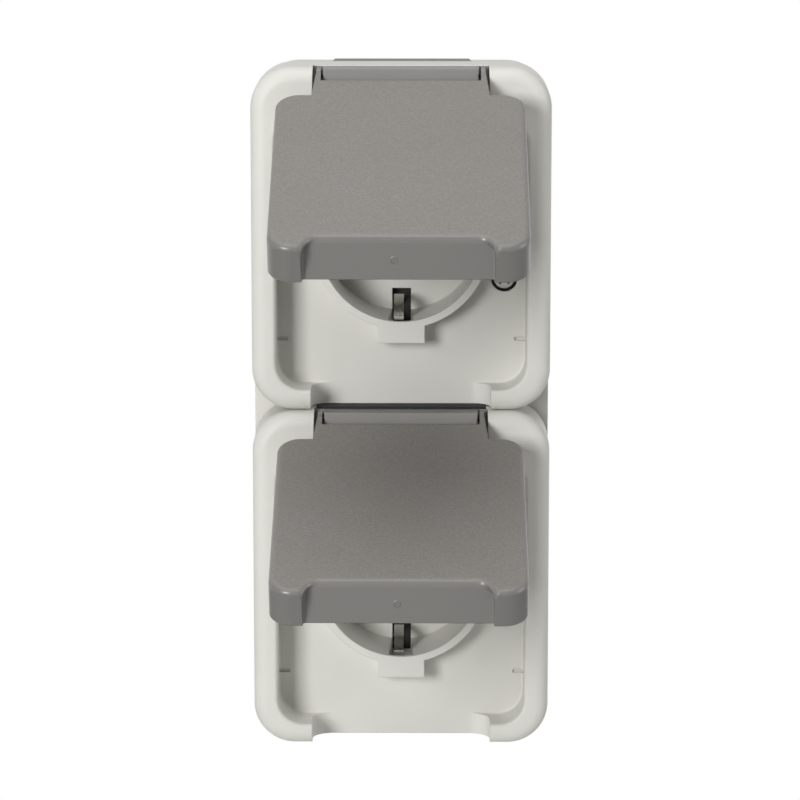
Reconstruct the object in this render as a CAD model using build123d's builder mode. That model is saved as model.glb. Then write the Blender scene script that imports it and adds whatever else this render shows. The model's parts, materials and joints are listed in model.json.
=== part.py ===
import os
from math import atan2, cos, hypot, radians, sqrt, tan

from build123d import *

os.makedirs("parts", exist_ok=True)

# Outlet: width across, depth from the wall to the front of the rims
width = 72.0
total_depth = 53.0

# Covers: one above the other with a hair gap between them
cover_height = 83.0
cover_gap = 0.2
cover_depth = 16.8
corner_radius = 10.0
wall = 2.2
front_wall = 2.4
rim_side = 5.8
rim_bottom = 5.1
rim_outer_radius = 3.5
rim_inner_radius = 0.8
rim_round_share = 0.9
socket_drop = 0.6

# Lid: a tray that turns about a pin near the top of its cover
hinge_drop = 1.9
hinge_depth = 2.4
lid_shoulder = 10.4
lid_sink = 1.2
lid_depth = 9.4
lid_corner = 5.6
lid_edge_radius = 1.4
lid_plate = 2.0
skirt_wall = 1.6
upper_lid_angle = 63.7
lower_lid_angle = 68.4

# Finger grip scooped into the lid's front edge
grip_margin = 7.7
grip_inset = 4.3
grip_angle = 18.5
grip_corner = 0.5
grip_end = 0.4
grip_skim = 0.12
grip_round_share = 0.45
grip_front_radius = 3.0
grip_front_lead = 2.6
grip_front_narrowing = 2.6
grip_front_depth = 2.8
edge_steps = (0, 0.08, 0.25, 0.55, 1)

# Hinge: neck and arms of the lid, bar and pin of the cover
hinge_margin = 10.85
neck_reach = 4.72
arm_wall = 1.95
arm_taper = 1.05
eye_radius = 1.75
arm_back = 1.5
hinge_side_gap = 0.45
notch_side_gap = 0.4
notch_taper = 0.4
pin_radius = 0.9
pin_clearance = 0.06
bar_front = 0.5
bar_rise = 1.7
bar_edge_radius = 0.4
bar_swing_gap = 0.32
bar_screen = 2.6
bar_plate = 0.8
bar_plate_gap = 0.12
peg_radius = 1.5
peg_length = 2.6
peg_spacing = 24.0
peg_clearance = 0.1

# Lid well of the cover
lid_gap = 0.8
lip_gap = 0.7
shoulder_gap = 0.45
floor_gap = 0.4
well_floor_radius = 0.5
tub_wall = 1.8
floor_wall = 2.0
rim_gap_margin = 0.1
rim_gap_radius = 5.0
slit_length = 2.6
slit_height = 0.9
slit_depth = 0.5
slit_drop = 24.9

# Socket recess
recess_radius = 19.8
recess_floor_radius = 19.5
recess_depth = 17.5
collar_wall = 1.7
recess_floor_wall = 2.0
tab_width = 11.4
tab_reach = 25.0
contact_spacing = 19.0
contact_hole_radius = 2.75
slot_width = 4.6
slot_mouth = 6.0
slot_inner = 14.1
slot_outer = 22.6
slot_cap = 1.2

# Seals
lid_seal_thickness = 1.1
lid_seal_gap = 0.3
lid_seal_width = 2.4
cover_seal_thickness = 0.8
cover_seal_width = 1.4

# Cover screws, on a diagonal across the recess
cover_screw_margin = 5.2
cover_screw_z = 10.1
cover_screw_head = 2.5
cover_screw_head_height = 2.2
cover_screw_shank = 1.7
cover_screw_length = 20.0
cover_screw_seat = 13.9
boss_radius = 4.6
head_clearance = 0.7
shank_clearance = 0.3
thread_clearance = 0.06
thread_spare = 2.0
column_gap = 0.3
column_radius = 4.0

# Base box behind the covers
base_inset = 2.7
back_wall = 2.5
passage_radius = 5.0
passage_depth = 40.0
passage_block = 24.0
fixing_margin = 12.0
fixing_rise = 24.4
fixing_radius = 2.4
fixing_head_radius = 4.6
fixing_head_sink = 0.8

# Cable entry in the top wall of the base
entry_width = 35.3
entry_length = 14.0
entry_proud = 2.0
entry_bevel = 1.2
entry_neck_width = 26.4
entry_neck_length = 8.4
entry_clearance = 0.3
entry_lip = 1.3
entry_lip_height = 1.3
entry_depth = 27.0
cable_spacing = 13.0
cable_radius = 3.2
membrane = 0.8

# Contact carrier behind the recess
carrier_gap = 0.3
carrier_side_gap = 2.0
carrier_height = 62.0
carrier_depth = 19.6
carrier_corner = 3.0
carrier_screw_margin = 6.0
carrier_screw_drop = 25.0
carrier_screw_rise = 25.5
carrier_screw_head = 3.0
carrier_screw_head_height = 2.0
carrier_screw_shank = 1.5
carrier_screw_length = 13.0
carrier_screw_seat = 12.0
post_radius = 3.5

# Live and neutral contacts: strip, two blades and a terminal block
contact_pocket_gap = 0.4
strip_width = 7.0
strip_thickness = 1.0
blade_wall = 0.6
blade_gap = 5.2
blade_height = 7.6
blade_length = 11.0
contact_sink = 13.6
contact_tail = 4.5
terminal_size = 8.0
terminal_depth = 9.0
terminal_rise = 24.5
wire_radius = 1.6
terminal_screw_head = 2.4
terminal_screw_head_height = 1.8
terminal_screw_shank = 1.4
terminal_screw_length = 5.0

# Earth yoke: strip across the carrier with two sprung clips
yoke_thickness = 0.8
yoke_width = 4.6
yoke_sink = 1.6
yoke_gap = 0.3
clip_width = 2.4
clip_shift = 0.6
clip_root = 18.2
clip_crest = 15.0
clip_crest_depth = 10.0
clip_tip = 18.9
clip_tip_depth = 3.0
earth_terminal_drop = 28.0
earth_terminal_depth = 8.0
earth_overlap = 3.0

# Cross recess of every screw, as shares of its head radius and head height
cross_length_ratio = 1.25
cross_width_ratio = 0.28
cross_depth_ratio = 0.5

# Cutting shapes reach this far past the faces that they open
overshoot = 1.0

# Derived places, heights from the middle of a cover and depths from the front of its rim
pitch = cover_height + cover_gap
places = {"upper": pitch / 2, "lower": -pitch / 2}
hinge_z = cover_height / 2 - hinge_drop
lid_angles = {"upper": upper_lid_angle, "lower": lower_lid_angle}
lid_top = hinge_z - lid_shoulder
lid_back = lid_sink + lid_depth
well_top = lid_top + shoulder_gap
well_bottom = rim_bottom - cover_height / 2
well_height = well_top - well_bottom
well_middle = (well_top + well_bottom) / 2
well_width = width - 2 * rim_side
lid_bottom = well_bottom + lip_gap
lid_width = well_width - 2 * lid_gap
grip_width = lid_width - 2 * grip_margin
rim_gap_width = grip_width + 2 * rim_gap_margin
mouth_radius = min(rim_inner_radius, rim_round_share * (min(rim_side, rim_bottom) - rim_outer_radius))
well_corner = lid_corner + lip_gap
well_depth = lid_back + floor_gap
floor_back = well_depth + floor_wall
bar_width = lid_width - 2 * hinge_margin
neck_width = bar_width + 2 * (hinge_side_gap + arm_wall)
eye_width = neck_width - 2 * arm_taper
notch_width = neck_width + 2 * notch_side_gap
bar_back = hinge_depth + bar_screen
bar_seat = bar_back + bar_plate
bar_top = hinge_z + bar_rise
bar_plate_width = notch_width - 2 * notch_taper - 2 * bar_plate_gap
ring_depth = lid_sink + lid_plate + lid_seal_thickness + lid_seal_gap
recess_floor = ring_depth + recess_depth
recess_back = recess_floor + recess_floor_wall
collar_radius = recess_radius + collar_wall
chamber_height = cover_height - 2 * base_inset
base_corner = corner_radius
base_front = cover_depth + cover_seal_thickness
base_height = pitch + chamber_height
fixing_spacing_x = width - 2 * fixing_margin
fixing_spacing_z = pitch + 2 * fixing_rise
cover_screw_x = well_width / 2 - cover_screw_margin
carrier_width = 2 * (cover_screw_x - column_radius - carrier_side_gap)
carrier_screw_x = carrier_width / 2 - carrier_screw_margin
carrier_front = recess_back + carrier_gap
carrier_back = carrier_front + carrier_depth
cover_screw_places = [(cover_screw_x, -cover_screw_z), (-cover_screw_x, cover_screw_z)]
carrier_screw_places = [
    (-carrier_screw_x, -carrier_screw_drop),
    (carrier_screw_x, -carrier_screw_drop),
    (0, carrier_screw_rise),
]
terminal_front = carrier_front + contact_sink - strip_thickness - terminal_depth
earth_block_front = carrier_front + yoke_sink


def face(depth, z=0.0):
    """Plane that looks to the front, at a depth behind the front of the rims."""
    return Plane(origin=(0, depth - total_depth, z), x_dir=(1, 0, 0), z_dir=(0, -1, 0))


def section(z, x=0.0):
    """Plane across the width, with depth to the right and height up."""
    return Plane(origin=(x, -total_depth, z), x_dir=(0, 1, 0), z_dir=(1, 0, 0))


def level(z, depth):
    """Horizontal plane at a height, centred at a depth."""
    return Plane(origin=(0, depth - total_depth, z))


def lid_axis(z_mid):
    """Hinge axis of one lid, along which a positive turn opens it."""
    return Axis((0, hinge_depth - total_depth, z_mid + hinge_z), (-1, 0, 0))


def screws(spots, seat, z, head, head_height, shank, length, scale):
    """Cross-recess screws with their heads seated at one depth."""
    with BuildPart() as group:
        with BuildSketch(face(seat, z)):
            with Locations(*spots):
                Circle(head)
        extrude(amount=head_height)
        with BuildSketch(face(seat + length, z)):
            with Locations(*spots):
                Circle(shank)
        extrude(amount=length)
        with BuildSketch(face(seat - head_height + cross_depth_ratio * head_height, z)):
            with Locations(*spots):
                Rectangle(cross_length_ratio * scale, cross_width_ratio * scale)
                Rectangle(cross_width_ratio * scale, cross_length_ratio * scale)
        extrude(amount=head_height, mode=Mode.SUBTRACT)
    return group


def grip_wedge(z_mid, growth):
    """Solid of the finger grip, grown by a wall that the inside of the lid leaves."""
    slope = tan(radians(grip_angle))
    inset = grip_inset + growth / cos(radians(grip_angle))
    z_lip = z_mid + lid_bottom
    with BuildPart() as wedge:
        with BuildSketch(section(0)):
            with BuildLine():
                Polyline(
                    (lid_sink - overshoot, z_lip - overshoot),
                    (lid_sink - overshoot, z_lip + inset + overshoot * slope),
                    (lid_back + overshoot, z_lip + inset - (lid_depth + overshoot) * slope),
                    (lid_back + overshoot, z_lip - overshoot),
                    close=True,
                )
            make_face()
        extrude(amount=grip_width / 2 + growth, both=True)
        ends = wedge.faces().sort_by(Axis.Z)[-1].edges().filter_by(Axis.X, reverse=True)
        fillet(ends, grip_corner + growth)
    return wedge.part


def grip_outline(depth, z_mid):
    """Outline of the finger grip at one depth, wider within the rounding of the front edge."""
    inward = max(depth - lid_sink, 0)
    easing = max(1 - inward / grip_front_depth, 0)
    flare = lid_edge_radius - sqrt(lid_edge_radius**2 - max(lid_edge_radius - inward, 0) ** 2)
    foot = flare - grip_skim
    rise = flare + grip_inset - inward * tan(radians(grip_angle))
    half = grip_width / 2 + flare
    lean = grip_corner / 2 + easing * grip_front_narrowing
    top_half = half - lean
    height = rise - foot
    largest = grip_round_share * hypot(lean, height) / tan(atan2(height, lean) / 2)
    top_radius = min(grip_corner + easing * grip_front_radius + flare, largest)
    lead_radius = min(max(grip_corner + easing * grip_front_lead - flare, grip_corner), largest)
    far = half + lead_radius + overshoot
    with BuildSketch(face(depth, z_mid + lid_bottom)) as outline:
        with BuildLine():
            Polyline(
                (-far, -overshoot),
                (far, -overshoot),
                (far, foot),
                (half, foot),
                (top_half, rise),
                (-top_half, rise),
                (-half, foot),
                (-far, foot),
                close=True,
            )
        make_face()
        feet = outline.vertices().group_by(Axis.Y)[1].sort_by(lambda corner: abs(corner.X))[:2]
        fillet(feet, lead_radius)
        fillet(outline.vertices().group_by(Axis.Y)[-1], top_radius)
    return outline.sketch


def grip_scoop(z_mid):
    """Solid that scoops the finger grip, eased into the lid's rounded front edge."""
    run_out = lid_sink + (grip_inset - grip_end) / tan(radians(grip_angle))
    steps = [lid_edge_radius * step for step in edge_steps]
    depths = [lid_sink - overshoot]
    depths += [lid_sink + step for step in steps]
    depths += [lid_sink + grip_front_depth, min(lid_back + overshoot, run_out)]
    with BuildPart() as scoop:
        loft([grip_outline(depth, z_mid) for depth in depths], ruled=True)
    return scoop.part


def make_cover(place, z_mid):
    z_socket = z_mid - socket_drop
    z_notch = (well_top + cover_height / 2) / 2

    # Hollow that the lid closes into
    with BuildPart() as well:
        with BuildSketch(face(well_depth, z_mid + well_middle)):
            RectangleRounded(well_width, well_height, well_corner)
        extrude(amount=well_depth + overshoot)
        fillet(well.faces().sort_by(Axis.Y)[-1].edges(), well_floor_radius)

    # Opening in the lower rim, with round corners down to the floor
    with BuildPart() as rim_gap:
        with BuildSketch(level(z_mid - cover_height / 2 - overshoot, well_depth)) as gap_outline:
            Rectangle(rim_gap_width, well_depth + overshoot, align=(Align.CENTER, Align.MAX))
            fillet(gap_outline.vertices().group_by(Axis.Y)[-1], rim_gap_radius)
        extrude(amount=cover_height / 2 + well_bottom + well_corner + overshoot)

    with BuildPart() as cover:
        # Rounded cap, hollow behind
        with BuildSketch(face(cover_depth, z_mid)):
            RectangleRounded(width, cover_height, corner_radius)
        extrude(amount=cover_depth)
        fillet(cover.faces().sort_by(Axis.Y)[0].edges(), rim_outer_radius)
        with BuildSketch(face(cover_depth, z_mid)):
            RectangleRounded(width - 2 * wall, cover_height - 2 * wall, corner_radius - wall)
        extrude(amount=cover_depth - front_wall, mode=Mode.SUBTRACT)

        # Walls round the well, the rim opening and the hinge notch
        with BuildSketch(face(floor_back, z_mid + well_middle)):
            RectangleRounded(well_width + 2 * tub_wall, well_height + 2 * tub_wall, well_corner + tub_wall)
        extrude(amount=floor_back - front_wall / 2)
        with BuildSketch(face(floor_back, z_mid - cover_height / 2 + wall / 2)):
            Rectangle(
                rim_gap_width + 2 * tub_wall,
                well_corner + rim_gap_radius,
                align=(Align.CENTER, Align.MIN),
            )
        extrude(amount=floor_back - front_wall / 2)
        with BuildSketch(face(bar_seat + tub_wall, z_mid + z_notch - wall / 2)):
            Rectangle(notch_width + 2 * tub_wall, cover_height / 2 - well_top)
        extrude(amount=bar_seat + tub_wall - front_wall / 2)

        # Ring that presses on the seal, in line with the walls of the base
        with BuildSketch(face(cover_depth, z_mid)):
            RectangleRounded(width, chamber_height, base_corner)
            RectangleRounded(
                width - 2 * wall,
                chamber_height - 2 * wall,
                base_corner - wall,
                mode=Mode.SUBTRACT,
            )
            RectangleRounded(width - wall, cover_height - wall, corner_radius - wall / 2, mode=Mode.INTERSECT)
        extrude(amount=cover_depth - front_wall)

        # Well with its rounded mouth, then the rim opening and the notch
        add(well.part, mode=Mode.SUBTRACT)
        mouth = cover.faces().filter_by(Axis.Y).sort_by(Axis.Y)[0].inner_wires()[0]
        fillet(mouth.edges(), mouth_radius)
        add(rim_gap.part, mode=Mode.SUBTRACT)
        notch_low = well_top - overshoot
        notch_high = cover_height / 2 + overshoot
        notch_half = notch_width / 2
        with BuildSketch(face(bar_seat, z_mid)):
            with BuildLine():
                Polyline(
                    (-notch_half, notch_low),
                    (notch_half, notch_low),
                    (notch_half - notch_taper, notch_high),
                    (notch_taper - notch_half, notch_high),
                    close=True,
                )
            make_face()
        extrude(amount=bar_seat + overshoot, mode=Mode.SUBTRACT)
        with BuildSketch(face(bar_seat + tub_wall + overshoot, z_mid + hinge_z)):
            with GridLocations(peg_spacing, 0, 2, 1):
                Circle(peg_radius + peg_clearance)
        extrude(amount=tub_wall + 2 * overshoot, mode=Mode.SUBTRACT)

        # Collar and recess with the blocks that house the earth clips
        with BuildSketch(face(recess_back, z_socket)):
            Circle(collar_radius)
            Rectangle(tab_width, 2 * tab_reach)
        extrude(amount=recess_back - ring_depth)
        with BuildSketch(face(ring_depth, z_socket)):
            Circle(recess_radius)
        with BuildSketch(face(recess_floor, z_socket)):
            Circle(recess_floor_radius)
        loft(mode=Mode.SUBTRACT)
        with BuildSketch(face(recess_back + overshoot, z_socket)):
            with GridLocations(0, slot_inner + slot_outer, 1, 2):
                Rectangle(slot_width, slot_outer - slot_inner)
        extrude(amount=recess_back + overshoot - ring_depth - slot_cap, mode=Mode.SUBTRACT)
        for z_slot in (z_socket - slot_outer, z_socket + slot_inner):
            with BuildSketch(level(z_slot, 0)):
                with BuildLine():
                    Polyline(
                        (-slot_width / 2, recess_floor),
                        (slot_width / 2, recess_floor),
                        (slot_mouth / 2, ring_depth + slot_cap),
                        (-slot_mouth / 2, ring_depth + slot_cap),
                        close=True,
                    )
                make_face()
            extrude(amount=slot_outer - slot_inner, mode=Mode.SUBTRACT)
        with BuildSketch(face(recess_back + overshoot, z_socket)):
            with GridLocations(contact_spacing, 0, 2, 1):
                Circle(contact_hole_radius)
        extrude(amount=recess_floor_wall + 2 * overshoot, mode=Mode.SUBTRACT)

        # Screw bosses behind the floor, with sunk seats for the heads
        with BuildSketch(face(cover_depth, z_socket)):
            with Locations(*cover_screw_places):
                Circle(boss_radius)
        extrude(amount=cover_depth - well_depth - floor_wall / 2)
        with BuildSketch(face(cover_screw_seat, z_socket)):
            with Locations(*cover_screw_places):
                Circle(cover_screw_head + head_clearance)
        extrude(amount=cover_screw_seat - well_depth + overshoot, mode=Mode.SUBTRACT)
        with BuildSketch(face(cover_depth + overshoot, z_socket)):
            with Locations(*cover_screw_places):
                Circle(cover_screw_shank + shank_clearance)
        extrude(amount=cover_depth - cover_screw_seat + 2 * overshoot, mode=Mode.SUBTRACT)

        # Drain slits in the floor beside the side walls
        with BuildSketch(face(well_depth + slit_depth, z_socket - slit_drop)):
            with GridLocations(well_width - slit_length, 0, 2, 1):
                Rectangle(slit_length, slit_height)
        extrude(amount=slit_depth + well_floor_radius, mode=Mode.SUBTRACT)

    cover.part.label = f"{place}_cover"
    export_step(cover.part, f"parts/{place}_cover.step")


def make_lid(place, z_mid):
    # Inside of the tray, which keeps a wall behind the finger grip
    with BuildPart() as cavity:
        with BuildSketch(face(lid_back + overshoot, z_mid + (lid_top + lid_bottom) / 2)):
            RectangleRounded(
                lid_width - 2 * skirt_wall,
                lid_top - lid_bottom - 2 * skirt_wall,
                lid_corner - skirt_wall,
            )
        extrude(amount=lid_depth - lid_plate + overshoot)
        add(grip_wedge(z_mid, skirt_wall), mode=Mode.SUBTRACT)

    with BuildPart() as lid:
        # Tray with its scooped grip and rounded front edge
        with BuildSketch(face(lid_back, z_mid + (lid_top + lid_bottom) / 2)):
            RectangleRounded(lid_width, lid_top - lid_bottom, lid_corner)
        extrude(amount=lid_depth)
        fillet(lid.faces().sort_by(Axis.Y)[0].edges(), lid_edge_radius)
        add(grip_scoop(z_mid), mode=Mode.SUBTRACT)

        # Neck up to the hinge bar, with an arm and an eye at each side
        neck_bottom = lid_top - 2 * lid_edge_radius
        neck_top = hinge_z - neck_reach
        with BuildSketch(face(lid_sink + lid_plate, z_mid + (neck_top + neck_bottom) / 2)):
            Rectangle(neck_width, neck_top - neck_bottom)
        extrude(amount=lid_plate)
        for side in (-1, 1):
            with BuildSketch(section(z_mid, side * (neck_width - arm_wall) / 2)):
                with Locations((hinge_depth, hinge_z)):
                    Circle(eye_radius)
                with Locations((lid_sink, neck_bottom)):
                    arm_depth = hinge_depth + arm_back - lid_sink
                    Rectangle(arm_depth, hinge_z - neck_bottom, align=(Align.MIN, Align.MIN))
            extrude(amount=arm_wall / 2, both=True)
        trim_top = hinge_z + eye_radius
        trim_half = neck_width / 2 + overshoot
        for side in (-1, 1):
            with BuildSketch(face(hinge_depth + eye_radius + overshoot, z_mid)):
                with BuildLine():
                    Polyline(
                        (side * neck_width / 2, lid_top),
                        (side * trim_half, lid_top),
                        (side * trim_half, trim_top),
                        (side * eye_width / 2, trim_top),
                        close=True,
                    )
                make_face()
            extrude(amount=hinge_depth + eye_radius + 2 * overshoot, mode=Mode.SUBTRACT)
        with BuildSketch(section(z_mid)):
            with Locations((hinge_depth, hinge_z)):
                Circle(pin_radius + pin_clearance)
        extrude(amount=neck_width, both=True, mode=Mode.SUBTRACT)

        add(cavity.part, mode=Mode.SUBTRACT)

    opened = lid.part.rotate(lid_axis(z_mid), lid_angles[place])
    opened.label = f"{place}_lid"
    export_step(opened, f"parts/{place}_lid.step")


def make_lid_seal(place, z_mid):
    with BuildPart() as lid_seal:
        with BuildSketch(face(lid_sink + lid_plate + lid_seal_thickness, z_mid - socket_drop)):
            Circle(recess_radius + lid_seal_width)
            Circle(recess_radius, mode=Mode.SUBTRACT)
        extrude(amount=lid_seal_thickness)
    opened = lid_seal.part.rotate(lid_axis(z_mid), lid_angles[place])
    opened.label = f"{place}_lid_seal"
    export_step(opened, f"parts/{place}_lid_seal.step")


def make_hinge(place, z_mid):
    # Bar between the arms, rounded below for the swing of the neck, on a plate that closes the notch
    with BuildPart() as hinge_bar:
        with BuildSketch(section(z_mid)):
            with Locations((hinge_depth, hinge_z)):
                Circle(neck_reach - bar_swing_gap)
            with Locations((bar_front, hinge_z + bar_rise)):
                Rectangle(
                    bar_back - bar_front,
                    bar_rise + neck_reach,
                    align=(Align.MIN, Align.MAX),
                    mode=Mode.INTERSECT,
                )
        extrude(amount=bar_width / 2, both=True)
        fillet(hinge_bar.faces().filter_by(Axis.Y).sort_by(Axis.Y)[0].edges(), bar_edge_radius)
        with BuildSketch(face(bar_seat, z_mid + bar_top)):
            Rectangle(
                bar_plate_width,
                bar_rise + neck_reach - bar_swing_gap,
                align=(Align.CENTER, Align.MAX),
            )
        extrude(amount=bar_plate)
        with BuildSketch(face(bar_seat + peg_length, z_mid + hinge_z)):
            with GridLocations(peg_spacing, 0, 2, 1):
                Circle(peg_radius)
        extrude(amount=peg_length)
        with BuildSketch(section(z_mid)):
            with Locations((hinge_depth, hinge_z)):
                Circle(pin_radius + pin_clearance)
        extrude(amount=bar_width, both=True, mode=Mode.SUBTRACT)
    hinge_bar.part.label = f"{place}_hinge_bar"
    export_step(hinge_bar.part, f"parts/{place}_hinge_bar.step")

    with BuildPart() as hinge_pin:
        with BuildSketch(section(z_mid)):
            with Locations((hinge_depth, hinge_z)):
                Circle(pin_radius)
        extrude(amount=eye_width / 2, both=True)
    hinge_pin.part.label = f"{place}_hinge_pin"
    export_step(hinge_pin.part, f"parts/{place}_hinge_pin.step")


def make_cover_fixings(place, z_mid):
    with BuildPart() as cover_seal:
        seal_inset = wall - cover_seal_width
        with BuildSketch(face(base_front, z_mid)):
            RectangleRounded(width - seal_inset, chamber_height - seal_inset, base_corner - seal_inset / 2)
            RectangleRounded(
                width - seal_inset - 2 * cover_seal_width,
                chamber_height - seal_inset - 2 * cover_seal_width,
                base_corner - seal_inset / 2 - cover_seal_width,
                mode=Mode.SUBTRACT,
            )
        extrude(amount=cover_seal_thickness)
    cover_seal.part.label = f"{place}_cover_seal"
    export_step(cover_seal.part, f"parts/{place}_cover_seal.step")

    cover_screws = screws(
        cover_screw_places,
        cover_screw_seat,
        z_mid - socket_drop,
        cover_screw_head,
        cover_screw_head_height,
        cover_screw_shank,
        cover_screw_length,
        cover_screw_head,
    )
    cover_screws.part.label = f"{place}_cover_screws"
    export_step(cover_screws.part, f"parts/{place}_cover_screws.step")


def make_carrier(place, z_mid):
    z_socket = z_mid - socket_drop
    with BuildPart() as contact_carrier:
        with BuildSketch(face(carrier_back, z_socket)):
            RectangleRounded(carrier_width, carrier_height, carrier_corner)
        extrude(amount=carrier_depth)

        # Pockets for the two contacts, open above for the wires
        pocket_width = terminal_size + 2 * contact_pocket_gap
        with BuildSketch(face(carrier_front + contact_sink, z_socket - contact_tail - contact_pocket_gap)):
            with GridLocations(contact_spacing, 0, 2, 1):
                Rectangle(pocket_width, carrier_height, align=(Align.CENTER, Align.MIN))
        extrude(amount=contact_sink + overshoot, mode=Mode.SUBTRACT)

        # Channel for the earth yoke and the pocket of its terminal, open below
        with BuildSketch(face(earth_block_front, z_socket)):
            Rectangle(yoke_width + 2 * yoke_gap, 2 * earth_terminal_drop)
        extrude(amount=yoke_sink + overshoot, mode=Mode.SUBTRACT)
        pocket_top = terminal_size / 2 + contact_pocket_gap - earth_terminal_drop
        with BuildSketch(face(earth_block_front + earth_terminal_depth, z_socket + pocket_top)):
            Rectangle(pocket_width, carrier_height, align=(Align.CENTER, Align.MAX))
        extrude(amount=earth_terminal_depth + yoke_sink + overshoot, mode=Mode.SUBTRACT)

        # Sunk holes for the carrier screws
        with BuildSketch(face(carrier_front + carrier_screw_seat, z_socket)):
            with Locations(*carrier_screw_places):
                Circle(carrier_screw_head + head_clearance)
        extrude(amount=carrier_screw_seat + overshoot, mode=Mode.SUBTRACT)
        with BuildSketch(face(carrier_back + overshoot, z_socket)):
            with Locations(*carrier_screw_places):
                Circle(carrier_screw_shank + shank_clearance)
        extrude(amount=carrier_depth, mode=Mode.SUBTRACT)
    contact_carrier.part.label = f"{place}_contact_carrier"
    export_step(contact_carrier.part, f"parts/{place}_contact_carrier.step")

    carrier_screws = screws(
        carrier_screw_places,
        carrier_front + carrier_screw_seat,
        z_socket,
        carrier_screw_head,
        carrier_screw_head_height,
        carrier_screw_shank,
        carrier_screw_length,
        carrier_screw_head,
    )
    carrier_screws.part.label = f"{place}_carrier_screws"
    export_step(carrier_screws.part, f"parts/{place}_carrier_screws.step")


def make_contact(place, z_mid, name, x):
    z_socket = z_mid - socket_drop
    strip_back = carrier_front + contact_sink
    strip_front = strip_back - strip_thickness
    with BuildPart() as contact:
        with BuildSketch(face(strip_back, z_socket - contact_tail)):
            with Locations((x, 0)):
                strip_height = contact_tail + terminal_rise + terminal_size / 2
                Rectangle(strip_width, strip_height, align=(Align.CENTER, Align.MIN))
        extrude(amount=strip_thickness)
        with BuildSketch(face(strip_front, z_socket)):
            with Locations((x - (blade_gap + blade_wall) / 2, 0), (x + (blade_gap + blade_wall) / 2, 0)):
                Rectangle(blade_wall, blade_height)
        extrude(amount=blade_length)
        with BuildSketch(face(strip_front, z_socket)):
            with Locations((x, terminal_rise)):
                Rectangle(terminal_size, terminal_size)
        extrude(amount=terminal_depth)

        # Wire hole from above and screw hole from the front
        wire_depth = strip_front - wire_radius - strip_thickness
        with BuildSketch(level(z_socket + terminal_rise + terminal_size / 2 + overshoot, wire_depth)):
            with Locations((x, 0)):
                Circle(wire_radius)
        extrude(amount=-terminal_size, mode=Mode.SUBTRACT)
        with BuildSketch(face(terminal_front + terminal_screw_length, z_socket)):
            with Locations((x, terminal_rise)):
                Circle(terminal_screw_shank + thread_clearance)
        extrude(amount=terminal_screw_length + overshoot, mode=Mode.SUBTRACT)
    contact.part.label = f"{place}_{name}_contact"
    export_step(contact.part, f"parts/{place}_{name}_contact.step")


def make_earth(place, z_mid):
    z_socket = z_mid - socket_drop
    strip_front = earth_block_front - yoke_thickness
    crest_depth = ring_depth + clip_crest_depth
    tip_depth = ring_depth + clip_tip_depth
    with BuildPart() as earth_yoke:
        # Strip down the middle of the carrier to its terminal block
        strip_end = earth_terminal_drop - terminal_size / 2 + earth_overlap / 2
        with BuildSketch(face(earth_block_front, z_socket)):
            with Locations((0, (clip_root - strip_end) / 2)):
                Rectangle(yoke_width, clip_root + strip_end)
        extrude(amount=yoke_thickness)
        with BuildSketch(face(earth_block_front + earth_terminal_depth, z_socket - earth_terminal_drop)):
            Rectangle(terminal_size, terminal_size)
        extrude(amount=earth_terminal_depth)

        # Clips that bulge into the recess
        for turn in (-1, 1):
            root = (strip_front, turn * clip_root)
            tip = (tip_depth, turn * clip_tip)
            outer_tip = (tip_depth, turn * (clip_tip + yoke_thickness))
            outer_crest = (crest_depth, turn * (clip_crest + yoke_thickness))
            outer_root = (earth_block_front, turn * (clip_root + yoke_thickness))
            with BuildSketch(section(z_socket, -clip_shift)):
                with BuildLine():
                    ThreePointArc(root, (crest_depth, turn * clip_crest), tip)
                    Line(tip, outer_tip)
                    ThreePointArc(outer_tip, outer_crest, outer_root)
                    Polyline(outer_root, (earth_block_front, turn * clip_root), root)
                make_face()
            extrude(amount=clip_width / 2, both=True)

        wire_depth = earth_block_front + earth_terminal_depth - wire_radius - strip_thickness
        with BuildSketch(level(z_socket - earth_terminal_drop - terminal_size / 2 - overshoot, wire_depth)):
            Circle(wire_radius)
        extrude(amount=terminal_size, mode=Mode.SUBTRACT)
        with BuildSketch(face(earth_block_front + terminal_screw_length, z_socket - earth_terminal_drop)):
            Circle(terminal_screw_shank + thread_clearance)
        extrude(amount=terminal_screw_length + overshoot, mode=Mode.SUBTRACT)
    earth_yoke.part.label = f"{place}_earth_yoke"
    export_step(earth_yoke.part, f"parts/{place}_earth_yoke.step")


def make_terminal_screws(place, z_mid):
    z_socket = z_mid - socket_drop
    sizes = (
        terminal_screw_head,
        terminal_screw_head_height,
        terminal_screw_shank,
        terminal_screw_length,
        terminal_screw_head,
    )
    line_places = [(-contact_spacing / 2, terminal_rise), (contact_spacing / 2, terminal_rise)]
    line_screws = screws(line_places, terminal_front, z_socket, *sizes)
    earth_screw = screws([(0, -earth_terminal_drop)], earth_block_front, z_socket, *sizes)
    with BuildPart() as terminal_screws:
        add(line_screws.part)
        add(earth_screw.part)
    terminal_screws.part.label = f"{place}_terminal_screws"
    export_step(terminal_screws.part, f"parts/{place}_terminal_screws.step")


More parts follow.
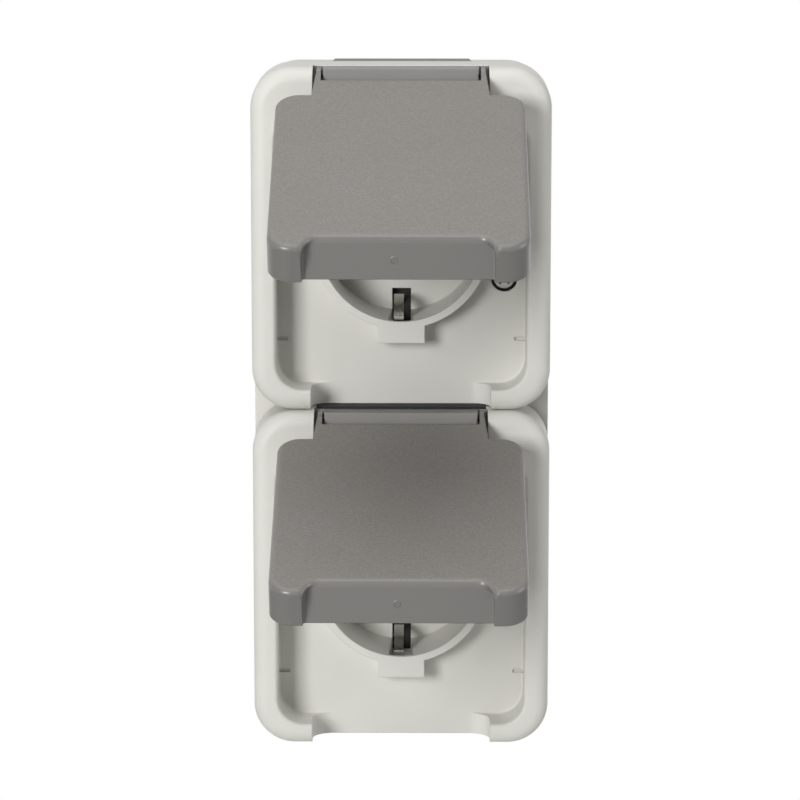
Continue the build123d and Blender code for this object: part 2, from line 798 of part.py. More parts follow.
def make_base():
    base_back = total_depth - back_wall
    with BuildPart() as base:
        with BuildSketch(face(total_depth)):
            RectangleRounded(width, base_height, base_corner)
        extrude(amount=total_depth - base_front)

        # Two chambers, and pockets from behind between their end walls
        with BuildSketch(face(base_back)):
            with GridLocations(0, pitch, 1, 2):
                RectangleRounded(width - 2 * wall, chamber_height - 2 * wall, base_corner - wall)
        extrude(amount=base_back - base_front + overshoot, mode=Mode.SUBTRACT)
        with BuildSketch(face(total_depth)):
            Rectangle(width - 2 * wall, pitch - chamber_height)
            Rectangle(passage_block, pitch - chamber_height, mode=Mode.SUBTRACT)
        extrude(amount=total_depth - base_front - wall, mode=Mode.SUBTRACT)
        with BuildSketch(level(-pitch / 4, passage_depth)):
            Circle(passage_radius)
        extrude(amount=pitch / 2, mode=Mode.SUBTRACT)

        # Columns for the cover screws and posts for the carriers
        for z_mid in places.values():
            z_socket = z_mid - socket_drop
            with BuildSketch(face(base_back + back_wall / 2, z_socket)):
                with Locations(*cover_screw_places):
                    Circle(column_radius)
            extrude(amount=base_back + back_wall / 2 - cover_depth - column_gap)
            with BuildSketch(face(cover_screw_seat + cover_screw_length + thread_spare, z_socket)):
                with Locations(*cover_screw_places):
                    Circle(cover_screw_shank + thread_clearance)
            extrude(amount=cover_screw_length, mode=Mode.SUBTRACT)
            with BuildSketch(face(base_back + back_wall / 2, z_socket)):
                with Locations(*carrier_screw_places):
                    Circle(post_radius)
            extrude(amount=base_back + back_wall / 2 - carrier_back)
            carrier_screw_tip = carrier_front + carrier_screw_seat + carrier_screw_length
            with BuildSketch(face(carrier_screw_tip + thread_spare / 2, z_socket)):
                with Locations(*carrier_screw_places):
                    Circle(carrier_screw_shank + thread_clearance)
            extrude(amount=carrier_screw_length, mode=Mode.SUBTRACT)

        # Holes for the wall screws
        with BuildSketch(face(total_depth + overshoot)):
            with GridLocations(fixing_spacing_x, fixing_spacing_z, 2, 2):
                Circle(fixing_radius)
        extrude(amount=back_wall + 2 * overshoot, mode=Mode.SUBTRACT)
        with BuildSketch(face(base_back + fixing_head_sink)):
            with GridLocations(fixing_spacing_x, fixing_spacing_z, 2, 2):
                Circle(fixing_head_radius)
        extrude(amount=fixing_head_sink + overshoot, mode=Mode.SUBTRACT)

        # Opening for the cable entry
        with BuildSketch(level(base_height / 2 - wall - overshoot, entry_depth)):
            Rectangle(entry_neck_width + 2 * entry_clearance, entry_neck_length + 2 * entry_clearance)
        extrude(amount=wall + 2 * overshoot, mode=Mode.SUBTRACT)
    base.part.label = "base"
    export_step(base.part, "parts/base.step")


def make_cable_entry():
    base_top = base_height / 2
    with BuildPart() as cable_entry:
        with BuildSketch(level(base_top, entry_depth)):
            Rectangle(entry_width, entry_length)
        extrude(amount=entry_proud)
        chamfer(cable_entry.faces().sort_by(Axis.Z)[-1].edges(), entry_bevel)
        with BuildSketch(level(base_top - wall, entry_depth)):
            Rectangle(entry_neck_width, entry_neck_length)
        extrude(amount=wall)
        with BuildSketch(level(base_top - wall - entry_lip_height, entry_depth)):
            Rectangle(entry_neck_width + 2 * entry_lip, entry_neck_length + 2 * entry_lip)
        extrude(amount=entry_lip_height)

        # Pockets up to a thin membrane that each cable pierces
        with BuildSketch(level(base_top - wall - entry_lip_height, entry_depth)):
            with GridLocations(cable_spacing, 0, 2, 1):
                Circle(cable_radius)
        extrude(amount=entry_lip_height + wall + entry_proud - membrane, mode=Mode.SUBTRACT)
    cable_entry.part.label = "cable_entry"
    export_step(cable_entry.part, "parts/cable_entry.step")


make_base()
make_cable_entry()
for place, z_mid in places.items():
    make_cover(place, z_mid)
    make_lid(place, z_mid)
    make_lid_seal(place, z_mid)
    make_hinge(place, z_mid)
    make_cover_fixings(place, z_mid)
    make_carrier(place, z_mid)
    make_contact(place, z_mid, "live", -contact_spacing / 2)
    make_contact(place, z_mid, "neutral", contact_spacing / 2)
    make_earth(place, z_mid)
    make_terminal_screws(place, z_mid)
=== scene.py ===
import bpy
import json
import math
from mathutils import Matrix, Vector


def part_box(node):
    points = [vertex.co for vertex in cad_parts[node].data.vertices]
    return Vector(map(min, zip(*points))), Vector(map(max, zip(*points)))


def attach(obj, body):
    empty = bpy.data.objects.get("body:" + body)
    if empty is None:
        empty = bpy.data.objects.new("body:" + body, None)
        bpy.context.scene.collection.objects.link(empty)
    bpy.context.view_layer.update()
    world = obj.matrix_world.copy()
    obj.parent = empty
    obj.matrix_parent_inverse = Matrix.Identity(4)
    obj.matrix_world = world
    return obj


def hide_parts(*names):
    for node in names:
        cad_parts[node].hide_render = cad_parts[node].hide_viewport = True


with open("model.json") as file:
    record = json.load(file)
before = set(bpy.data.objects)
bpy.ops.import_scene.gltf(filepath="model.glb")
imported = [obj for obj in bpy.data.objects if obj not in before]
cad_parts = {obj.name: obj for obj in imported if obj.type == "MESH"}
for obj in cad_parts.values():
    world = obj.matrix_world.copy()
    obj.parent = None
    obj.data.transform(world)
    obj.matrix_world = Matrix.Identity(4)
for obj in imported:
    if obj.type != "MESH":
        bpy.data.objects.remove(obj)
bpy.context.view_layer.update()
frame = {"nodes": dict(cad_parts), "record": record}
nodes = frame["nodes"]
scene = bpy.context.scene
scene.view_settings.view_transform = "Standard"
mm = 0.001
places = ("upper", "lower")
print("frame loaded with", len(nodes), "nodes")


def linear(hexCode):  # sRGB hex as it looks, turned into the linear colour a shader wants
    parts = [int(hexCode[i:i + 2], 16) / 255 for i in (1, 3, 5)]
    parts = [p / 12.92 if p <= 0.04045 else ((p + 0.055) / 1.055) ** 2.4 for p in parts]
    return (*parts, 1.0)


def addNode(tree, kind, settings=None, links=None):  # one node with its settings and links
    node = tree.nodes.new(kind)
    for key, value in (settings or {}).items():
        if isinstance(key, int) or key in node.inputs:
            node.inputs[key].default_value = value
        else:
            setattr(node, key, value)
    for key, socket in (links or {}).items():
        tree.links.new(socket, node.inputs[key])
    return node


def newMaterial(name, colour, roughness, metallic=0.0, gloss=0.5):
    material = bpy.data.materials.new(name)
    material.use_nodes = True
    material.diffuse_color = linear(colour)
    tree = material.node_tree
    tree.nodes.clear()
    shader = addNode(tree, "ShaderNodeBsdfPrincipled", {
        "Base Color": linear(colour), "Roughness": roughness, "Metallic": metallic,
        "IOR": 1.5,  # usual for these plastics, and the default that the metals keep
        "Specular IOR Level": gloss})
    addNode(tree, "ShaderNodeOutputMaterial", {}, {"Surface": shader.outputs["BSDF"]})
    coords = addNode(tree, "ShaderNodeTexCoord")
    return material, tree, shader, coords


def feed(tree, shader, links):  # patterns into the shader's sockets
    for key, socket in links.items():
        tree.links.new(socket, shader.inputs[key])


# light grey ASA, satin from a finely blasted tool: even, a little cloudy, soft broad sheen
lightLook = {
    "colour": "#dad9d3", "cloud": "#d2d1cb", "cloudSize": 26 * mm,
    "grain": 0.42 * mm, "grainDepth": 0.010 * mm, "grainStrength": 0.35,
    "roughness": 0.46, "spread": 0.05, "gloss": 0.28, "edge": 0.30 * mm,
}


def lightGreyAsa():
    look = lightLook
    material, tree, shader, coords = newMaterial(
        "light_grey_asa_satin", look["colour"], look["roughness"], gloss=look["gloss"])
    where = {"Vector": coords.outputs["Object"]}
    cloud = addNode(tree, "ShaderNodeTexNoise", {"Scale": 1 / look["cloudSize"], "Detail": 3.0}, where)
    tint = addNode(
        tree, "ShaderNodeMix",
        {"data_type": "RGBA", 6: linear(look["colour"]), 7: linear(look["cloud"])},
        {0: cloud.outputs["Fac"]})
    grain = addNode(tree, "ShaderNodeTexNoise", {"Scale": 1 / look["grain"], "Detail": 2.0}, where)
    rough = addNode(
        tree, "ShaderNodeMapRange",
        {"To Min": look["roughness"] - look["spread"], "To Max": look["roughness"] + look["spread"]},
        {"Value": cloud.outputs["Fac"]})
    edge = addNode(tree, "ShaderNodeBevel", {"samples": 6, "Radius": look["edge"]})
    bump = addNode(
        tree, "ShaderNodeBump", {"Strength": look["grainStrength"], "Distance": look["grainDepth"]},
        {"Height": grain.outputs["Fac"], "Normal": edge.outputs["Normal"]})
    feed(tree, shader, {
        "Base Color": tint.outputs[2], "Roughness": rough.outputs["Result"],
        "Normal": bump.outputs["Normal"]})
    return material


# dark grey ASA, spark-eroded grain on the faces that look up, smoother on lips and sides, which are also
# darker: partly their smoother finish, partly painted shade for the less light they get
# the grain is about 0.2 mm on the real thing and is drawn coarser so that it shows
lidLook = {
    "colour": "#8a8884", "cloud": "#827d76", "cloudSize": 22 * mm, "smooth": "#6f6e6b",
    "pit": "#777571", "pitFrom": 0.35, "pitFull": 0.65,
    "grain": 0.52 * mm, "grainDepth": 0.05 * mm, "grainStrength": 0.5,
    "upFrom": 0.55, "upFull": 0.85,  # how far a face looks up before the grain starts, and is full
    "roughness": 0.56, "polish": 0.3, "gloss": 0.5, "edge": 0.25 * mm,
}


def darkGreyGrainedAsa():
    look = lidLook
    material, tree, shader, coords = newMaterial(
        "dark_grey_asa_grained", look["colour"], look["roughness"], gloss=look["gloss"])
    where = {"Vector": coords.outputs["Object"]}
    up = addNode(tree, "ShaderNodeSeparateXYZ", {}, {"Vector": coords.outputs["Normal"]})
    mask = addNode(
        tree, "ShaderNodeMapRange", {"From Min": look["upFrom"], "From Max": look["upFull"]},
        {"Value": up.outputs["Z"]})
    grain = addNode(
        tree, "ShaderNodeTexNoise", {"Scale": 1 / look["grain"], "Detail": 2.5, "Roughness": 0.6}, where)
    pits = addNode(
        tree, "ShaderNodeMapRange", {"From Min": look["pitFrom"], "From Max": look["pitFull"]},
        {"Value": grain.outputs["Fac"]})
    cloud = addNode(tree, "ShaderNodeTexNoise", {"Scale": 1 / look["cloudSize"], "Detail": 3.0}, where)
    body = addNode(
        tree, "ShaderNodeMix",
        {"data_type": "RGBA", 6: linear(look["colour"]), 7: linear(look["cloud"])},
        {0: cloud.outputs["Fac"]})
    speckle = addNode(
        tree, "ShaderNodeMix", {"data_type": "RGBA", 6: linear(look["pit"])},
        {0: pits.outputs["Result"], 7: body.outputs[2]})
    # lips and sides get the darker smooth colour, partly their own finish and partly painted shade
    colour = addNode(
        tree, "ShaderNodeMix", {"data_type": "RGBA", 6: linear(look["smooth"])},
        {0: mask.outputs["Result"], 7: speckle.outputs[2]})
    depth = addNode(
        tree, "ShaderNodeMath", {"operation": "MULTIPLY"},
        {0: grain.outputs["Fac"], 1: mask.outputs["Result"]})
    edge = addNode(tree, "ShaderNodeBevel", {"samples": 6, "Radius": look["edge"]})
    bump = addNode(
        tree, "ShaderNodeBump", {"Strength": look["grainStrength"], "Distance": look["grainDepth"]},
        {"Height": depth.outputs[0], "Normal": edge.outputs["Normal"]})
    rough = addNode(
        tree, "ShaderNodeMapRange", {"To Min": look["polish"], "To Max": look["roughness"]},
        {"Value": mask.outputs["Result"]})
    feed(tree, shader, {
        "Base Color": colour.outputs[2], "Roughness": rough.outputs["Result"],
        "Normal": bump.outputs["Normal"]})
    return material


# hinge bars: dark grey ASA straight from a polished tool, flat tone, faint flow clouds, and painted shade
# that makes the faces looking up darker
barLook = {
    "colour": "#888683", "cloud": "#7f7e7b", "cloudSize": 9 * mm, "top": "#777573",
    "upFrom": 0.7, "upFull": 0.95, "roughness": 0.48, "gloss": 0.5, "edge": 0.2 * mm,
}
# cable entry: dark grey TPE, moulded matt, soft tone with almost no sheen, with the same painted shade on the
# faces looking up
entryLook = {
    "colour": "#868685", "cloud": "#7d7d7c", "cloudSize": 12 * mm, "top": "#777776",
    "upFrom": 0.7, "upFull": 0.95, "roughness": 0.62, "gloss": 0.36, "edge": 0.3 * mm,
}


def darkGreyMoulding(name, look):
    material, tree, shader, coords = newMaterial(name, look["colour"], look["roughness"], gloss=look["gloss"])
    cloud = addNode(
        tree, "ShaderNodeTexNoise", {"Scale": 1 / look["cloudSize"], "Detail": 3.0},
        {"Vector": coords.outputs["Object"]})
    tint = addNode(
        tree, "ShaderNodeMix",
        {"data_type": "RGBA", 6: linear(look["colour"]), 7: linear(look["cloud"])},
        {0: cloud.outputs["Fac"]})
    # painted shade: the faces that look up are mixed towards the darker top colour, as if less light reached
    # them
    up = addNode(tree, "ShaderNodeSeparateXYZ", {}, {"Vector": coords.outputs["Normal"]})
    mask = addNode(
        tree, "ShaderNodeMapRange", {"From Min": look["upFrom"], "From Max": look["upFull"]},
        {"Value": up.outputs["Z"]})
    paintedTopShade = addNode(
        tree, "ShaderNodeMix", {"data_type": "RGBA", 7: linear(look["top"])},
        {0: mask.outputs["Result"], 6: tint.outputs[2]})
    edge = addNode(tree, "ShaderNodeBevel", {"samples": 6, "Radius": look["edge"]})
    feed(tree, shader, {"Base Color": paintedTopShade.outputs[2], "Normal": edge.outputs["Normal"]})
    return material


# metals, rolled or drawn: fine lines run one way and break up the reflection
metalLines = {"detail": 2.0, "depth": 0.01 * mm, "strength": 0.2, "smoother": 0.06, "rougher": 0.08}
# hinge pins: drawn steel, blackened, so dark and dull with lines along the pin
pinLook = {
    "colour": "#2e2e30", "shade": "#222224", "roughness": 0.5, "lineGap": 0.5 * mm, "stretch": (0.1, 1, 1),
}
# screws: zinc plated steel, pale grey, half dull and a little cloudy
zincLook = {
    "colour": "#a2a19d", "shade": "#8b8a86", "roughness": 0.5, "lineGap": 0.6 * mm, "stretch": (1, 1, 1),
}
# contacts: rolled brass, warm and fairly bright, lines along the strip
brassLook = {
    "colour": "#c9a765", "shade": "#b08f52", "roughness": 0.3, "lineGap": 0.5 * mm, "stretch": (1, 0.15, 1),
}


def rolledMetal(name, look):
    material, tree, shader, coords = newMaterial(name, look["colour"], look["roughness"], 1.0)
    lay = addNode(
        tree, "ShaderNodeMapping", {"Scale": look["stretch"]}, {"Vector": coords.outputs["Object"]})
    lines = addNode(
        tree, "ShaderNodeTexNoise", {"Scale": 1 / look["lineGap"], "Detail": metalLines["detail"]},
        {"Vector": lay.outputs["Vector"]})
    tint = addNode(
        tree, "ShaderNodeMix",
        {"data_type": "RGBA", 6: linear(look["colour"]), 7: linear(look["shade"])},
        {0: lines.outputs["Fac"]})
    smoothest = look["roughness"] - metalLines["smoother"]
    roughest = look["roughness"] + metalLines["rougher"]
    rough = addNode(
        tree, "ShaderNodeMapRange", {"To Min": smoothest, "To Max": roughest},
        {"Value": lines.outputs["Fac"]})
    bump = addNode(
        tree, "ShaderNodeBump", {"Strength": metalLines["strength"], "Distance": metalLines["depth"]},
        {"Height": lines.outputs["Fac"]})
    feed(tree, shader, {
        "Base Color": tint.outputs[2], "Roughness": rough.outputs["Result"],
        "Normal": bump.outputs["Normal"]})
    return material


# nickel plate on the earth strip: bright at the front of the slot, rougher further in, with painted shade
# that darkens it to near black deeper in the slot
clipLook = {
    "bright": "#b9b7b1", "lines": "#8f8d88", "paintedShade": "#3b3a38", "lineGap": 0.5 * mm, "stretch": (1, 0.15, 1),
    "roughness": 0.26, "dullRoughness": 0.6, "brightTo": 18.5 * mm, "dullFrom": 21.0 * mm,
}


def nickelWithPaintedShade():
    look = clipLook
    rim = Vector(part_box("upper_cover")[0]).y
    material, tree, shader, coords = newMaterial(
        "nickel_plated_brass", look["bright"], look["roughness"], 1.0)
    where = {"Vector": coords.outputs["Object"]}
    lay = addNode(tree, "ShaderNodeMapping", {"Scale": look["stretch"]}, where)
    lines = addNode(
        tree, "ShaderNodeTexNoise", {"Scale": 1 / look["lineGap"], "Detail": metalLines["detail"]},
        {"Vector": lay.outputs["Vector"]})
    tint = addNode(
        tree, "ShaderNodeMix",
        {"data_type": "RGBA", 6: linear(look["bright"]), 7: linear(look["lines"])},
        {0: lines.outputs["Fac"]})
    place = addNode(tree, "ShaderNodeSeparateXYZ", {}, where)
    # painted shade: the colour goes from the bright nickel to the dark shade colour with depth into the slot
    paintedDepthShade = addNode(
        tree, "ShaderNodeMapRange",
        {"From Min": rim + look["brightTo"], "From Max": rim + look["dullFrom"]},
        {"Value": place.outputs["Y"]})
    colour = addNode(
        tree, "ShaderNodeMix", {"data_type": "RGBA", 7: linear(look["paintedShade"])},
        {0: paintedDepthShade.outputs["Result"], 6: tint.outputs[2]})
    rough = addNode(
        tree, "ShaderNodeMapRange", {"To Min": look["roughness"], "To Max": look["dullRoughness"]},
        {"Value": paintedDepthShade.outputs["Result"]})
    bump = addNode(
        tree, "ShaderNodeBump", {"Strength": metalLines["strength"], "Distance": metalLines["depth"]},
        {"Height": lines.outputs["Fac"]})
    feed(tree, shader, {
        "Base Color": colour.outputs[2], "Roughness": rough.outputs["Result"],
        "Normal": bump.outputs["Normal"]})
    return material


# seals, screw sleeves and joint strip: EPDM rubber, moulded, matt black with a faint bloom; the sleeves and
# the strip are dark pieces that stand in for shade
rubberLook = {
    "colour": "#151517", "bloom": "#1e1e20", "roughness": 0.85, "grain": 0.8 * mm,
    "grainDepth": 0.02 * mm, "grainStrength": 0.25,
}
# contact carriers: PBT, moulded black, a little smoother and paler than the rubber
carrierLook = {
    "colour": "#2a2a2b", "bloom": "#343435", "roughness": 0.6, "grain": 1.2 * mm,
    "grainDepth": 0.02 * mm, "grainStrength": 0.25,
}


def mattMoulding(name, look):
    material, tree, shader, coords = newMaterial(name, look["colour"], look["roughness"])
    dust = addNode(
        tree, "ShaderNodeTexNoise", {"Scale": 1 / look["grain"], "Detail": 4.0},
        {"Vector": coords.outputs["Object"]})
    tint = addNode(
        tree, "ShaderNodeMix",
        {"data_type": "RGBA", 6: linear(look["colour"]), 7: linear(look["bloom"])},
        {0: dust.outputs["Fac"]})
    bump = addNode(
        tree, "ShaderNodeBump", {"Strength": look["grainStrength"], "Distance": look["grainDepth"]},
        {"Height": dust.outputs["Fac"]})
    feed(tree, shader, {"Base Color": tint.outputs[2], "Normal": bump.outputs["Normal"]})
    return material


finishes = {
    "light_housing": lightGreyAsa(),
    "dark_lid": darkGreyGrainedAsa(),
    "dark_bar": darkGreyMoulding("dark_grey_asa_smooth", barLook),
    "dark_entry": darkGreyMoulding("dark_grey_tpe_matt", entryLook),
    "hinge_steel": rolledMetal("blackened_drawn_steel", pinLook),
    "zinc_steel": rolledMetal("zinc_plated_steel", zincLook),
    "seal_rubber": mattMoulding("epdm_rubber", rubberLook),
    "carrier_plastic": mattMoulding("pbt_black_moulded", carrierLook),
    "contact_brass": rolledMetal("rolled_brass", brassLook),
    "earth_metal": nickelWithPaintedShade(),
}
slotOf = {part["node"]: part["material_slot"] for part in frame["record"]["subparts"]}
for name, part in nodes.items():
    part.data.materials.clear()
    part.data.materials.append(finishes[slotOf[name]])
print("finishes on", len(nodes), "nodes")

square = 0.9  # how squarely a face looks along an axis to be picked by it


def pickFaces(piece, test):  # edit mode with only the faces that pass the test
    bpy.ops.object.mode_set(mode="EDIT")
    bpy.ops.mesh.select_mode(type="FACE")
    bpy.ops.mesh.select_all(action="DESELECT")
    bpy.ops.object.mode_set(mode="OBJECT")
    for face in piece.data.polygons:
        face.select = test(face)
    bpy.ops.object.mode_set(mode="EDIT")


def applyModifier(piece, kind, settings):
    modifier = piece.modifiers.new(kind.lower(), kind)
    for key, value in settings.items():
        setattr(modifier, key, value)
    bpy.ops.object.modifier_apply(modifier=modifier.name)


def copyTo(piece, name, place):  # a copy with its own mesh, its place kept in the mesh
    bpy.ops.object.select_all(action="DESELECT")
    piece.select_set(True)
    bpy.context.view_layer.objects.active = piece
    bpy.ops.object.duplicate(linked=False)
    copied = bpy.context.object
    copied.name = name
    copied.data.name = name
    copied.location = place
    bpy.ops.object.transform_apply(location=True, rotation=True, scale=True)
    return copied


def dropPiece(piece):  # patterns and cutters go once they have been used
    bpy.data.objects.remove(piece, do_unlink=True)


# cover screw: rounded pan head with a tapered cross recess, its head just under the floor of the well
# the head is a little wider than the plain head of the solid
coverScrew = {
    "head": 2.8 * mm, "solidHead": 2.5 * mm, "headHeight": 2.2 * mm, "rounding": 0.5 * mm, "roundSteps": 5,
    "shank": 1.7 * mm, "tip": 0.55, "sides": 48, "smooth": 35,
    "crossLength": 4.7 * mm, "crossWidth": 1.0 * mm, "crossDepth": 1.6 * mm, "crossTaper": 0.55, "turn": 43,
}


def makeCoverScrew(length):
    look = coverScrew
    bpy.ops.object.select_all(action="DESELECT")
    bpy.ops.mesh.primitive_cylinder_add(
        vertices=look["sides"], radius=look["head"], depth=look["headHeight"],
        rotation=(math.radians(90), 0, 0))
    screw = bpy.context.object
    bpy.ops.object.transform_apply(location=True, rotation=True, scale=True)
    pickFaces(screw, lambda face: face.normal.y > square)  # shank with a tapered tip
    bpy.ops.mesh.inset(thickness=look["head"] - look["shank"])
    bpy.ops.mesh.extrude_region_move(TRANSFORM_OT_translate={"value": (0, length - look["shank"], 0)})
    bpy.ops.mesh.extrude_region_move(TRANSFORM_OT_translate={"value": (0, look["shank"], 0)})
    bpy.ops.transform.resize(value=(look["tip"], 1, look["tip"]))
    pickFaces(screw, lambda face: face.normal.y < -square)  # rounded edge of the head
    bpy.ops.mesh.bevel(offset=look["rounding"], segments=look["roundSteps"], affect="EDGES")
    bpy.ops.object.mode_set(mode="OBJECT")

    # cross of two tapered bars that sinks into the head
    bars = []
    for quarter in (0, 90):
        bpy.ops.object.select_all(action="DESELECT")
        bpy.ops.mesh.primitive_cube_add(size=1, location=(0, -look["headHeight"] / 2, 0))
        bar = bpy.context.object
        bar.scale = (look["crossLength"], 2 * look["crossDepth"], look["crossWidth"])
        bar.rotation_euler = (0, math.radians(look["turn"] + quarter), 0)
        bpy.ops.object.transform_apply(location=False, rotation=True, scale=True)
        pickFaces(bar, lambda face: face.normal.y > square)
        bpy.ops.transform.resize(value=(look["crossTaper"], 1, look["crossTaper"]))
        bpy.ops.object.mode_set(mode="OBJECT")
        bars.append(bar)
    bpy.ops.object.select_all(action="DESELECT")
    screw.select_set(True)
    bpy.context.view_layer.objects.active = screw
    for bar in bars:
        applyModifier(screw, "BOOLEAN", {"operation": "DIFFERENCE", "object": bar, "solver": "EXACT"})
        dropPiece(bar)
    bpy.ops.object.shade_smooth_by_angle(angle=math.radians(look["smooth"]))
    return screw


# black sleeve in the screw hole, a tube with soft rims: a dark piece that stands in as painted shade for the
# gap around the head
screwShadeSleeve = {
    "outer": 3.18 * mm, "inner": 2.88 * mm, "length": 2.4 * mm, "proud": 0.45 * mm,
    "rim": 0.08 * mm, "rimSteps": 3, "rimAngle": 50, "sides": 48, "smooth": 60,
}


def makeScrewShadeSleeve():
    look = screwShadeSleeve
    bpy.ops.object.select_all(action="DESELECT")
    bpy.ops.mesh.primitive_cylinder_add(
        vertices=look["sides"], radius=look["outer"], depth=look["length"], end_fill_type="NOTHING",
        rotation=(math.radians(90), 0, 0))
    sleeve = bpy.context.object
    bpy.ops.object.transform_apply(location=True, rotation=True, scale=True)
    applyModifier(sleeve, "SOLIDIFY", {"thickness": look["outer"] - look["inner"], "offset": -1})
    applyModifier(sleeve, "BEVEL", {
        "width": look["rim"], "segments": look["rimSteps"], "limit_method": "ANGLE",
        "angle_limit": math.radians(look["rimAngle"])})
    bpy.ops.object.shade_smooth_by_angle(angle=math.radians(look["smooth"]))
    return sleeve


low, high = (Vector(corner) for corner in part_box("upper_cover_screws"))
screwPattern = makeCoverScrew(high.y - low.y - coverScrew["headHeight"])
sleevePattern = makeScrewShadeSleeve()
for place in places:
    low, high = (Vector(corner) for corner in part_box(f"{place}_cover_screws"))
    head = coverScrew["solidHead"]
    spots = {"right": (high.x - head, low.z + head), "left": (low.x + head, high.z - head)}
    for side, (x, z) in spots.items():
        screwSpot = (x, low.y + coverScrew["headHeight"] / 2, z)
        screw = copyTo(screwPattern, f"{place}_{side}_cover_screw", screwSpot)
        screw.data.materials.append(finishes["zinc_steel"])
        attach(screw, "housing")
        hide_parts(f"{place}_cover_screws")
        # each sleeve darkens the screw hole around the head as painted shade
        sleeveSpot = (x, low.y - screwShadeSleeve["proud"] + screwShadeSleeve["length"] / 2, z)
        sleeve = copyTo(sleevePattern, f"{place}_{side}_screw_shade_sleeve", sleeveSpot)
        sleeve.data.materials.append(finishes["seal_rubber"])
        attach(sleeve, "housing")
dropPiece(screwPattern)
dropPiece(sleevePattern)
print("cover screws and sleeves placed")


# joint strip: black rubber strip across the joint between the two covers, behind the lower hinge bar, a dark
# piece that stands in as painted shade for that crevice
# a lip at its front hangs over the edge of the cover, down to the bar
shadeStrip = {
    "length": 41.2 * mm, "front": 5.78 * mm, "back": 10.6 * mm, "lift": 0.3 * mm,
    "lip": 0.25 * mm, "drop": 0.18 * mm, "edge": 0.06 * mm, "edgeSteps": 3, "edgeAngle": 50, "smooth": 40,
}


def makeShadeStrip():
    look = shadeStrip
    rim = Vector(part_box("lower_cover")[0]).y
    top = Vector(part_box("lower_cover")[1]).z
    bpy.ops.object.select_all(action="DESELECT")
    middle = (0, rim + (look["front"] + look["back"]) / 2, top + look["lift"] / 2)
    bpy.ops.mesh.primitive_cube_add(size=1, location=middle)
    strip = bpy.context.object
    strip.name = "painted_shade_strip"
    strip.scale = (look["length"], look["back"] - look["front"], look["lift"])
    bpy.ops.object.transform_apply(location=True, rotation=True, scale=True)
    pickFaces(strip, lambda face: face.normal.y < -square)
    bpy.ops.mesh.extrude_region_move(TRANSFORM_OT_translate={"value": (0, -look["lip"], 0)})
    pickFaces(strip, lambda face: face.normal.z < -square and face.center.y < rim + look["front"])
    bpy.ops.mesh.extrude_region_move(TRANSFORM_OT_translate={"value": (0, 0, -look["drop"])})
    bpy.ops.object.mode_set(mode="OBJECT")
    applyModifier(strip, "BEVEL", {
        "width": look["edge"], "segments": look["edgeSteps"], "limit_method": "ANGLE",
        "angle_limit": math.radians(look["edgeAngle"])})
    bpy.ops.object.shade_smooth_by_angle(angle=math.radians(look["smooth"]))
    strip.data.materials.append(finishes["seal_rubber"])
    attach(strip, "housing")


# the strip is painted shade: a black piece where the joint lies in shade
makeShadeStrip()
print("joint strip placed")


# gate mark: small round dimple that the moulding left on each lip
# below and behind are measured from the hinge with the lid closed, and lean is the slope of the lip
gateMark = {
    "radius": 0.9 * mm, "height": 0.3 * mm, "proud": 0.06 * mm, "rim": 0.28 * mm, "dimple": 0.08 * mm,
    "edge": 0.05 * mm, "edgeSteps": 3, "sides": 32, "smooth": 35,
    "below": 72.7 * mm, "behind": 3.9 * mm, "lean": 18.5, "shift": {"upper": -1.0 * mm, "lower": -0.3 * mm},
}


def makeGateMark():
    look = gateMark
    bpy.ops.object.select_all(action="DESELECT")
    bpy.ops.mesh.primitive_cylinder_add(
        vertices=look["sides"], radius=look["radius"], depth=look["height"])
    mark = bpy.context.object
    pickFaces(mark, lambda face: face.normal.z < -square)
    bpy.ops.mesh.bevel(offset=look["edge"], segments=look["edgeSteps"], affect="EDGES")
    pickFaces(mark, lambda face: face.normal.z < -square)
    bpy.ops.mesh.inset(thickness=look["rim"])
    bpy.ops.mesh.extrude_region_move(TRANSFORM_OT_translate={"value": (0, 0, look["dimple"])})
    bpy.ops.object.mode_set(mode="OBJECT")
    bpy.ops.object.shade_smooth_by_angle(angle=math.radians(look["smooth"]))
    return mark


joints = {joint["name"]: joint for joint in frame["record"]["behaviour"]["joints"]}
markPattern = makeGateMark()
for place in places:
    joint = joints[f"{place}_lid_hinge"]
    mark = copyTo(markPattern, f"{place}_gate_mark", (0, 0, gateMark["height"] / 2 - gateMark["proud"]))
    hinge = Matrix.Translation(Vector(joint["pos_m"]))
    raised = Matrix.Rotation(math.radians(-joint["range_deg"][0]), 4, Vector(joint["axis"]))
    onLip = Matrix.Translation((gateMark["shift"][place], gateMark["behind"], -gateMark["below"]))
    lean = Matrix.Rotation(math.radians(-gateMark["lean"]), 4, "X")
    mark.matrix_world = hinge @ raised @ onLip @ lean
    bpy.ops.object.transform_apply(location=True, rotation=True, scale=True)
    mark.data.materials.append(finishes["dark_lid"])
    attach(mark, f"{place}_lid")
dropPiece(markPattern)
print("gate marks placed")


# photo camera: long lens, a little above and right of the outlet's middle, places in mm
view = {
    "place": (7.28, -911.8, 157.25), "aim": (-0.217, -53.0, 2.877), "lens": 162.85, "sensor": 36.0,
    "near": 0.01, "far": 20,
}
cameraData = bpy.data.cameras.new("photoCamera")
cameraData.lens = view["lens"]
cameraData.sensor_width = view["sensor"]
cameraData.clip_start = view["near"]
cameraData.clip_end = view["far"]
camera = bpy.data.objects.new("photoCamera", cameraData)
scene.collection.objects.link(camera)
camera.location = Vector(view["place"]) * mm
camera.rotation_euler = (Vector(view["aim"]) - Vector(view["place"])).to_track_quat("-Z", "Y").to_euler()
scene.camera = camera
print("camera set")


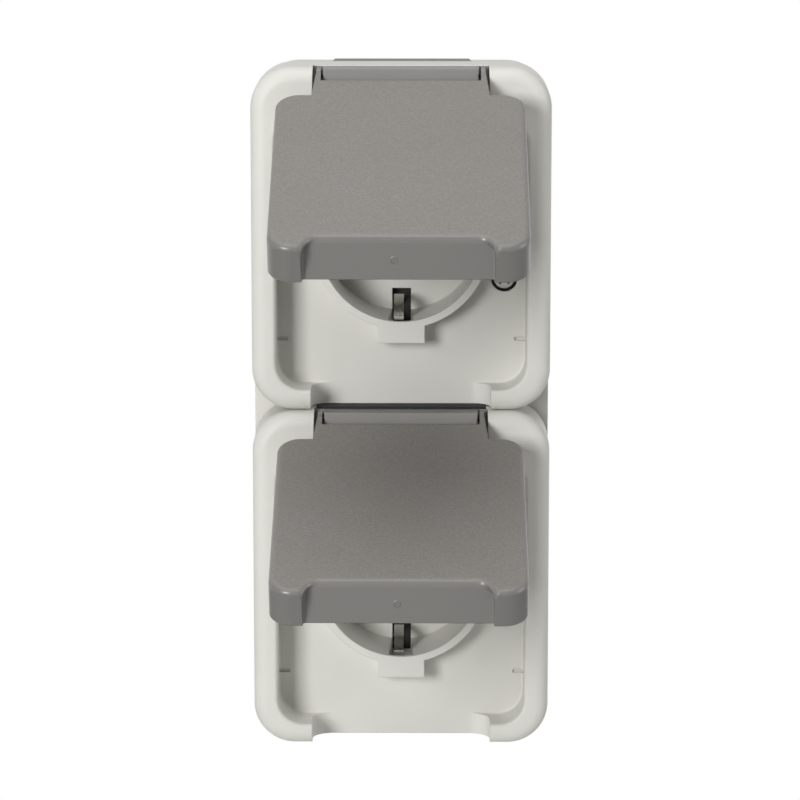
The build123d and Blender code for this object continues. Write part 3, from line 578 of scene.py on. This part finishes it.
# studio: soft key from the left, a wide box overhead, a weak fill from the right, white behind
studio = {
    "key": {"place": (-0.647, -1.207, 0.291), "size": (0.44, 0.50), "power": 13.7},
    "top": {"place": (-0.10, -0.45, 1.25), "size": (1.1, 1.1), "power": 10.2},
    "fill": {"place": (1.237, -0.331, 0.226), "size": (0.8, 0.8), "power": 5.6},
    "aim": (0, -0.04, 0), "ambient": 0.04,
}
for name in ("key", "top", "fill"):
    lamp = bpy.data.lights.new(name, "AREA")
    lamp.shape = "RECTANGLE"
    lamp.size, lamp.size_y = studio[name]["size"]
    lamp.energy = studio[name]["power"]
    holder = bpy.data.objects.new(name, lamp)
    scene.collection.objects.link(holder)
    holder.location = studio[name]["place"]
    holder.rotation_euler = (Vector(studio["aim"]) - holder.location).to_track_quat("-Z", "Y").to_euler()

# world: white to the eye and in reflections, a faint glow as light
world = bpy.data.worlds.new("studio")
scene.world = world
world.use_nodes = True
sky = world.node_tree
sky.nodes.clear()
rays = addNode(sky, "ShaderNodeLightPath")
seen = addNode(
    sky, "ShaderNodeMath", {"operation": "MAXIMUM"},
    {0: rays.outputs["Is Camera Ray"], 1: rays.outputs["Is Transmission Ray"]})
seen = addNode(
    sky, "ShaderNodeMath", {"operation": "MAXIMUM"}, {0: seen.outputs[0], 1: rays.outputs["Is Glossy Ray"]})
level = addNode(
    sky, "ShaderNodeMapRange", {"To Min": studio["ambient"], "To Max": 1.0}, {"Value": seen.outputs[0]})
glow = addNode(
    sky, "ShaderNodeBackground", {"Color": (1, 1, 1, 1)}, {"Strength": level.outputs["Result"]})
addNode(sky, "ShaderNodeOutputWorld", {}, {"Surface": glow.outputs["Background"]})

# studio floor: pale paper well below the outlet, which sends some light back up
paperLook = {
    "colour": "#f2f2f0", "fleck": "#eeeeec", "fleckSize": 25 * mm, "roughness": 0.9,
    "size": 2.0, "place": (0, 0.1, -0.45),
}
bpy.ops.object.select_all(action="DESELECT")
bpy.ops.mesh.primitive_plane_add(size=paperLook["size"], location=paperLook["place"])
floor = bpy.context.object
floor.name = "floor"
paper, paperTree, paperShader, paperCoords = newMaterial(
    "pale_studio_paper", paperLook["colour"], paperLook["roughness"])
fleck = addNode(
    paperTree, "ShaderNodeTexNoise", {"Scale": 1 / paperLook["fleckSize"]},
    {"Vector": paperCoords.outputs["Object"]})
paperTint = addNode(
    paperTree, "ShaderNodeMix",
    {"data_type": "RGBA", 6: linear(paperLook["colour"]), 7: linear(paperLook["fleck"])},
    {0: fleck.outputs["Fac"]})
feed(paperTree, paperShader, {"Base Color": paperTint.outputs[2]})
floor.data.materials.append(paper)
print("studio set")
